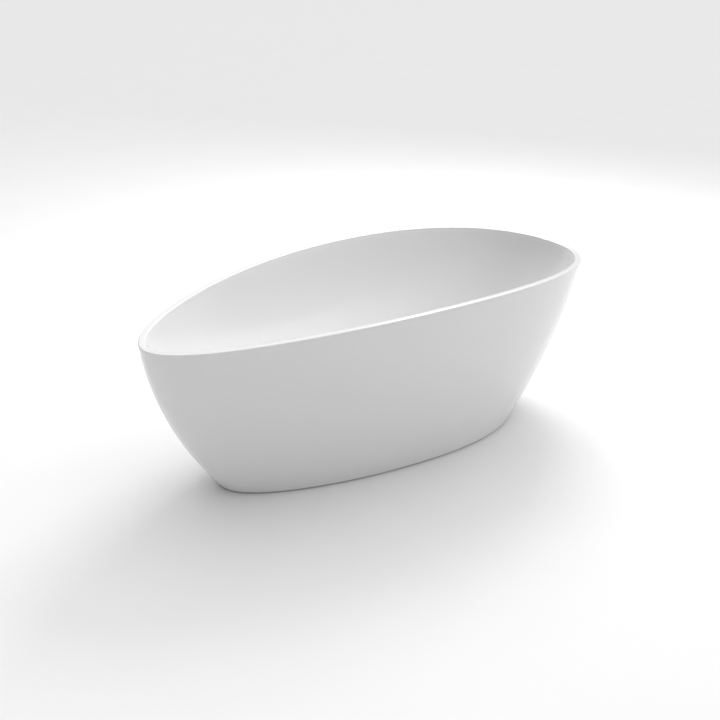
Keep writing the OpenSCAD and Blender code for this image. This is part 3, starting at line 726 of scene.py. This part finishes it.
# %% The plate's mesh
def slotted_plate(centre, axis):
    """A round cup open towards the wall, with a slot through its side at the lowest point."""
    radius, face, wall = 35 * MM, 8 * MM, 3 * MM
    screw_hole = 2.6 * MM
    sunk = -1 * MM
    slot_top = 4 * MM
    face_round = 2 * MM
    half_slot = 27
    outside = [(radius, sunk), (radius, 0), (radius, slot_top)]
    outside += edge_round_points(radius, face, face_round)
    inside = [(screw_hole, face), (screw_hole, face - wall), (radius - wall, face - wall),
              (radius - wall, slot_top), (radius - wall, 0), (radius - wall, sunk)]
    rings = turned_rings(outside + inside, centre, axis)
    last = len(rings) - 1
    low_out, high_out, high_in, low_in = 1, 2, last - 2, last - 1
    # how nearly each point of the ring lies straight downhill of the plate's centre
    downhill = np.array([0, 0, -1]) - np.dot([0, 0, -1], axis) * axis
    steepness = np.linalg.norm(downhill)
    bearing = [np.dot(point - centre, downhill) / (np.linalg.norm(point - centre) * steepness)
               for point in rings[low_out]]
    open_from = math.cos(math.radians(half_slot))
    gap = {k for k in range(TURNED)
           if bearing[k] > open_from and bearing[(k + 1) % TURNED] > open_from}
    faces = []
    for j in range(len(rings)):
        below = j * TURNED
        above = ((j + 1) % len(rings)) * TURNED
        for k in range(TURNED):
            following = (k + 1) % TURNED
            if k in gap and j in (low_out, high_in):
                continue
            faces.append((below + k, below + following, above + following, above + k))
    for k in gap:
        following = (k + 1) % TURNED
        for outer, inner in ((low_out, low_in), (high_out, high_in)):
            faces.append((outer * TURNED + k, outer * TURNED + following,
                          inner * TURNED + following, inner * TURNED + k))
        for end, other in ((k, (k - 1) % TURNED), (following, following)):
            if other not in gap:
                faces.append((low_out * TURNED + end, high_out * TURNED + end,
                              high_in * TURNED + end, low_in * TURNED + end))
    return finish_mesh("overflow_plate", np.concatenate(rings), faces, chrome, "tub",
                       "overflow_faceplate")


slotted_plate(plate_centre, plate_axis)

# %% [markdown]
# ## Materials for the parts that stay
# Most inner parts have the right shape already, so they keep their designed mesh and only get
# a material. The record names a finish slot for each part, so one table from slot to material
# covers them all.

# %% Dress the designed parts
slot_material = {
    "white_acrylic": acrylic, "adhesive": bead, "board": board, "cradle_paint": coated,
    "zinc_steel": zinc, "pad_rubber": rubber, "gasket_rubber": rubber, "chrome_trim": chrome,
    "stem_brass": brass, "spring_steel": wire, "white_fitting": polypropylene,
    "hose_plastic": hose_pvc}
for entry in frame["record"]["subparts"]:
    part = frame["nodes"][entry["node"]]
    part.data.materials.clear()
    part.data.materials.append(slot_material[entry["material_slot"]])
    part.data.shade_smooth()
    part.data.set_sharp_from_angle(angle=math.radians(CREASE))

# %% [markdown]
# ## The floor
# The floor is pale and plain, and goes on far past the view.

# %% Floor
def make_floor():
    """One large pale square under the tub."""
    mesh = bpy.data.meshes.new("studio_floor")
    reach = 60
    corners = [(-reach, -reach, 0), (reach, -reach, 0), (reach, reach, 0), (-reach, reach, 0)]
    mesh.from_pydata(corners, [], [(0, 1, 2, 3)])
    floor = bpy.data.objects.new("studio_floor", mesh)
    bpy.context.scene.collection.objects.link(floor)
    material, tree, surface, place = start_material("pale_floor")
    speckle = add_node(tree, "ShaderNodeTexNoise", values={"Scale": 4.0, "Detail": 3.0},
                       links={"Vector": (place, "Object")})
    tone = two_tone(tree, speckle, "Fac", "#efefef", "#f0f0f0")
    surface.inputs["Roughness"].default_value = 0.7
    surface.inputs["Specular IOR Level"].default_value = 0.2
    tree.links.new(tone.outputs["Color"], surface.inputs["Base Color"])
    floor.data.materials.append(material)
    print("made", floor.name, "reaching", reach, "m each way")


make_floor()

# %% [markdown]
# ## The light
# The light is a studio dome: bright overhead and dim lower down, and brighter towards the back
# right, so that the walls shade off gently. A pale band at the horizon stands in for a backdrop,
# so the floor has something light to meet in a low view. A square key light on the same side
# adds a soft shadow. A tall thin strip light beyond the narrow end adds a little more. It is
# weak, and its reflection is too faint to make out on the basin's wall.

# %% Light
def studio_dome(zenith, horizon, side_lift, backdrop):
    """A world bright overhead and dim lower down, lifted towards +X, with a pale low backdrop."""
    world = bpy.data.worlds.new("studio_dome")
    bpy.context.scene.world = world
    world.use_nodes = True
    tree = world.node_tree
    tree.nodes.clear()
    back_share = 0.25
    dim_until, bright_from = 0.1, 0.8
    band_full, band_gone = 0.09, 0.15
    place = add_node(tree, "ShaderNodeTexCoord")
    split = add_node(tree, "ShaderNodeSeparateXYZ", links={"Vector": (place, "Generated")})
    up = add_node(tree, "ShaderNodeMapRange", {"interpolation_type": "SMOOTHSTEP"}, {
        "From Min": dim_until, "From Max": bright_from, "To Min": horizon, "To Max": zenith},
        {"Value": (split, "Z")})
    across = add_node(tree, "ShaderNodeMath", {"operation": "MULTIPLY_ADD"}, {1: back_share},
                      {0: (split, "Y"), 2: (split, "X")})
    side = add_node(tree, "ShaderNodeMapRange", values={
        "From Min": -1.0, "From Max": 1.0, "To Min": 1 - side_lift, "To Max": 1 + side_lift},
        links={"Value": (across, "Value")})
    both = add_node(tree, "ShaderNodeMath", {"operation": "MULTIPLY"},
                    links={0: (up, "Result"), 1: (side, "Result")})
    band = add_node(tree, "ShaderNodeMapRange", {"interpolation_type": "SMOOTHSTEP"}, {
        "From Min": band_full, "From Max": band_gone, "To Min": backdrop, "To Max": 0.0},
        {"Value": (split, "Z")})
    total = add_node(tree, "ShaderNodeMath", {"operation": "ADD"},
                     links={0: (both, "Value"), 1: (band, "Result")})
    glow = add_node(tree, "ShaderNodeBackground", values={"Color": (1, 1, 1, 1)},
                    links={"Strength": (total, "Value")})
    add_node(tree, "ShaderNodeOutputWorld", links={"Surface": (glow, "Background")})


def soft_light(name, place, target, width, height, power):
    """A rectangular light at a place, turned to face a target."""
    light = bpy.data.lights.new(name, "AREA")
    light.shape = "RECTANGLE"
    light.size, light.size_y, light.energy = width, height, power
    lamp = bpy.data.objects.new(name, light)
    bpy.context.scene.collection.objects.link(lamp)
    lamp.location = place
    lamp.rotation_euler = (Vector(target) - Vector(place)).to_track_quat("-Z", "Y").to_euler()


studio_dome(zenith=1.2, horizon=0.02, side_lift=0.85, backdrop=0.7)
soft_light("key", place=(2.1, 1.5, 2.8), target=(-0.3, 0, 0.3), width=1.5, height=1.5, power=66)
soft_light("strip", place=(-4.0, 0.9, 1.0), target=(0.7, 0.1, 0.45), width=0.12, height=1.3,
           power=3.5)
bpy.context.scene.view_settings.view_transform = "Standard"
print("lights:", [light.name for light in bpy.data.lights])

# %% [markdown]
# ## The camera
# The camera looks down at the tub from the front left. It is placed by the direction back from
# its target, as a turn and a tilt in degrees, and by its distance in metres.

# %% Camera
yaw, pitch, distance = math.radians(-37.232), math.radians(24.474), 3.371
target = Vector((-0.0733, -0.0064, 0.2956))
back = Vector((math.sin(yaw) * math.cos(pitch), -math.cos(yaw) * math.cos(pitch),
               math.sin(pitch)))
lens = bpy.data.cameras.new("camera")
lens.lens, lens.sensor_width = 50, 36
camera = bpy.data.objects.new("camera", lens)
bpy.context.scene.collection.objects.link(camera)
camera.location = target + back * distance
camera.rotation_euler = back.to_track_quat("Z", "Y").to_euler()
bpy.context.scene.camera = camera
print("camera at", [round(v, 3) for v in camera.location])
